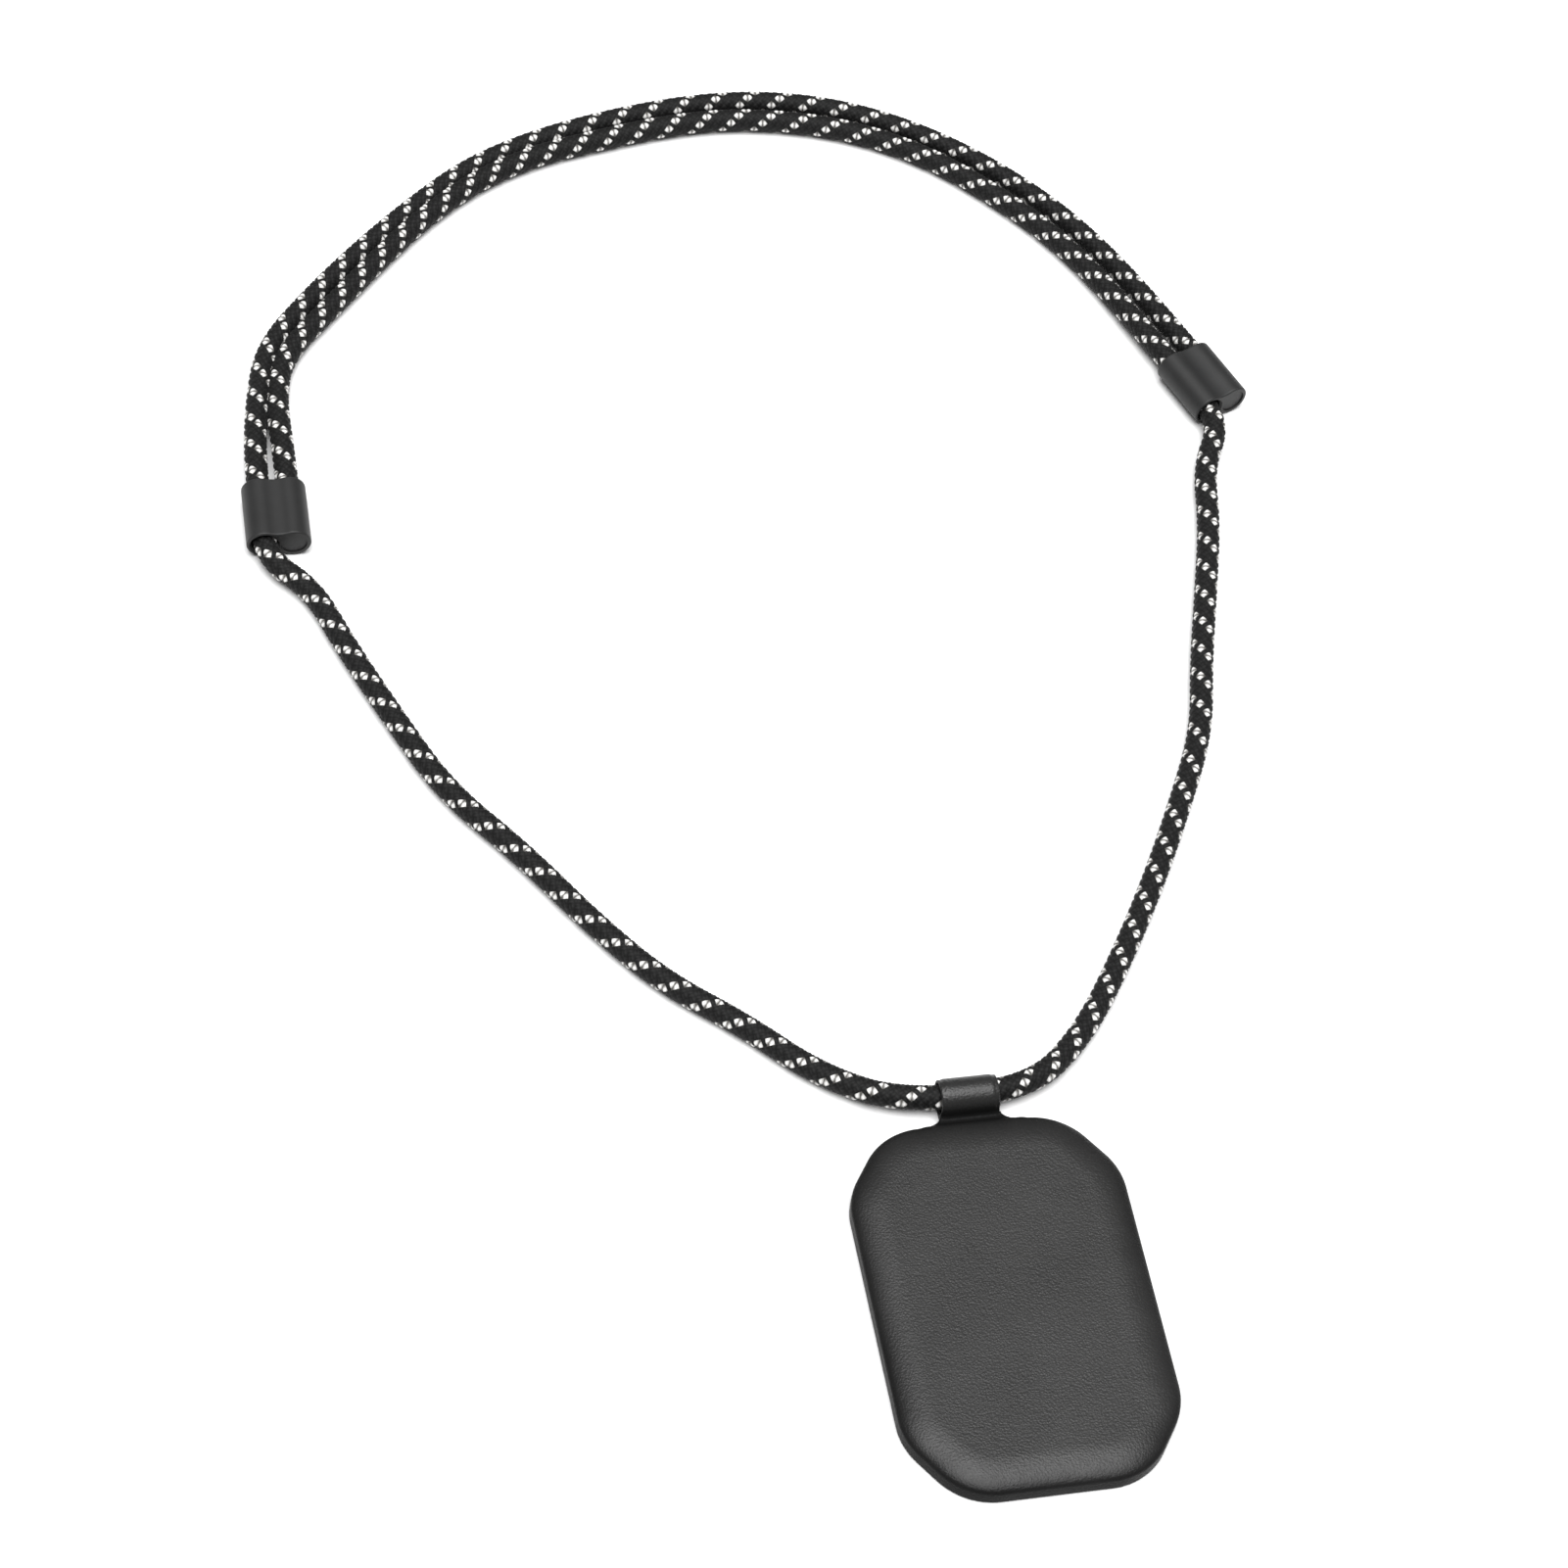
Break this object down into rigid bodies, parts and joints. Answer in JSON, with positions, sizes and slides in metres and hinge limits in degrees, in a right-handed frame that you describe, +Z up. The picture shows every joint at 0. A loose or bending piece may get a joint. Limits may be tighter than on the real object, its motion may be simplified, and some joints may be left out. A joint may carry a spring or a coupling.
{
  "type": "magnetic phone neck lanyard",
  "caption": "Leather-covered magnetic phone pad hanging by a leather loop on a braided neck cord, whose length is set by moulded twin-bore sliders",
  "frame": {"origin": "centre of the magnet ring on the pad's flat back face, which lies on the table", "axes": "+Y runs along the pad towards its cord loop, +X is to the right seen from the front, +Z is up out of the leather front"},
  "size_m": [0.2688, 0.4331, 0.009],
  "materials": {
    "leather": "satin fine-grained synthetic leather",
    "lining": "brushed microfibre",
    "adhesive": "translucent adhesive film",
    "carrier": "fine moulded texture",
    "magnet": "nickel plated",
    "shunt_steel": "rolled steel strip",
    "foam": "soft closed-cell foam",
    "cord": "round braid, black with white flecks",
    "slider": "fine matte moulding",
    "sleeve": "crimped thin steel"
  },
  "bodies": {
    "cord": {"cord": "cord", "end_sleeve_left": "sleeve", "end_sleeve_right": "sleeve"},
    "pad": {"front_cover": "leather", "cord_loop": "leather", "back_panel": "lining", "panel_adhesive": "adhesive", "carrier_plate": "carrier", "magnet_01": "magnet", "magnet_02": "magnet", "magnet_03": "magnet", "magnet_04": "magnet", "magnet_05": "magnet", "magnet_06": "magnet", "magnet_07": "magnet", "magnet_08": "magnet", "magnet_09": "magnet", "magnet_10": "magnet", "magnet_11": "magnet", "magnet_12": "magnet", "magnet_13": "magnet", "magnet_14": "magnet", "magnet_15": "magnet", "magnet_16": "magnet", "magnet_17": "magnet", "magnet_18": "magnet", "shunt_ring": "shunt_steel", "alignment_magnet": "magnet", "shunt_bar": "shunt_steel", "foam_pad": "foam"},
    "slider_left": {"slider_left": "slider", "end_plug_left": "slider"},
    "slider_right": {"slider_right": "slider", "end_plug_right": "slider"}
  },
  "joints": [
    {"name": "pad_swing", "type": "hinge", "parent": "cord", "child": "pad", "pos_m": [0, 0.05535, 0.00445], "axis": [-1, 0, 0], "continuous": true},
    {"name": "slider_left_travel", "type": "slide", "parent": "cord", "child": "slider_left", "axis": [0.0349, 0.9994, 0], "range_m": [0, 0.008]},
    {"name": "slider_right_travel", "type": "slide", "parent": "cord", "child": "slider_right", "axis": [-0.3584, 0.9336, 0], "range_m": [0, 0.008]}
  ]
}
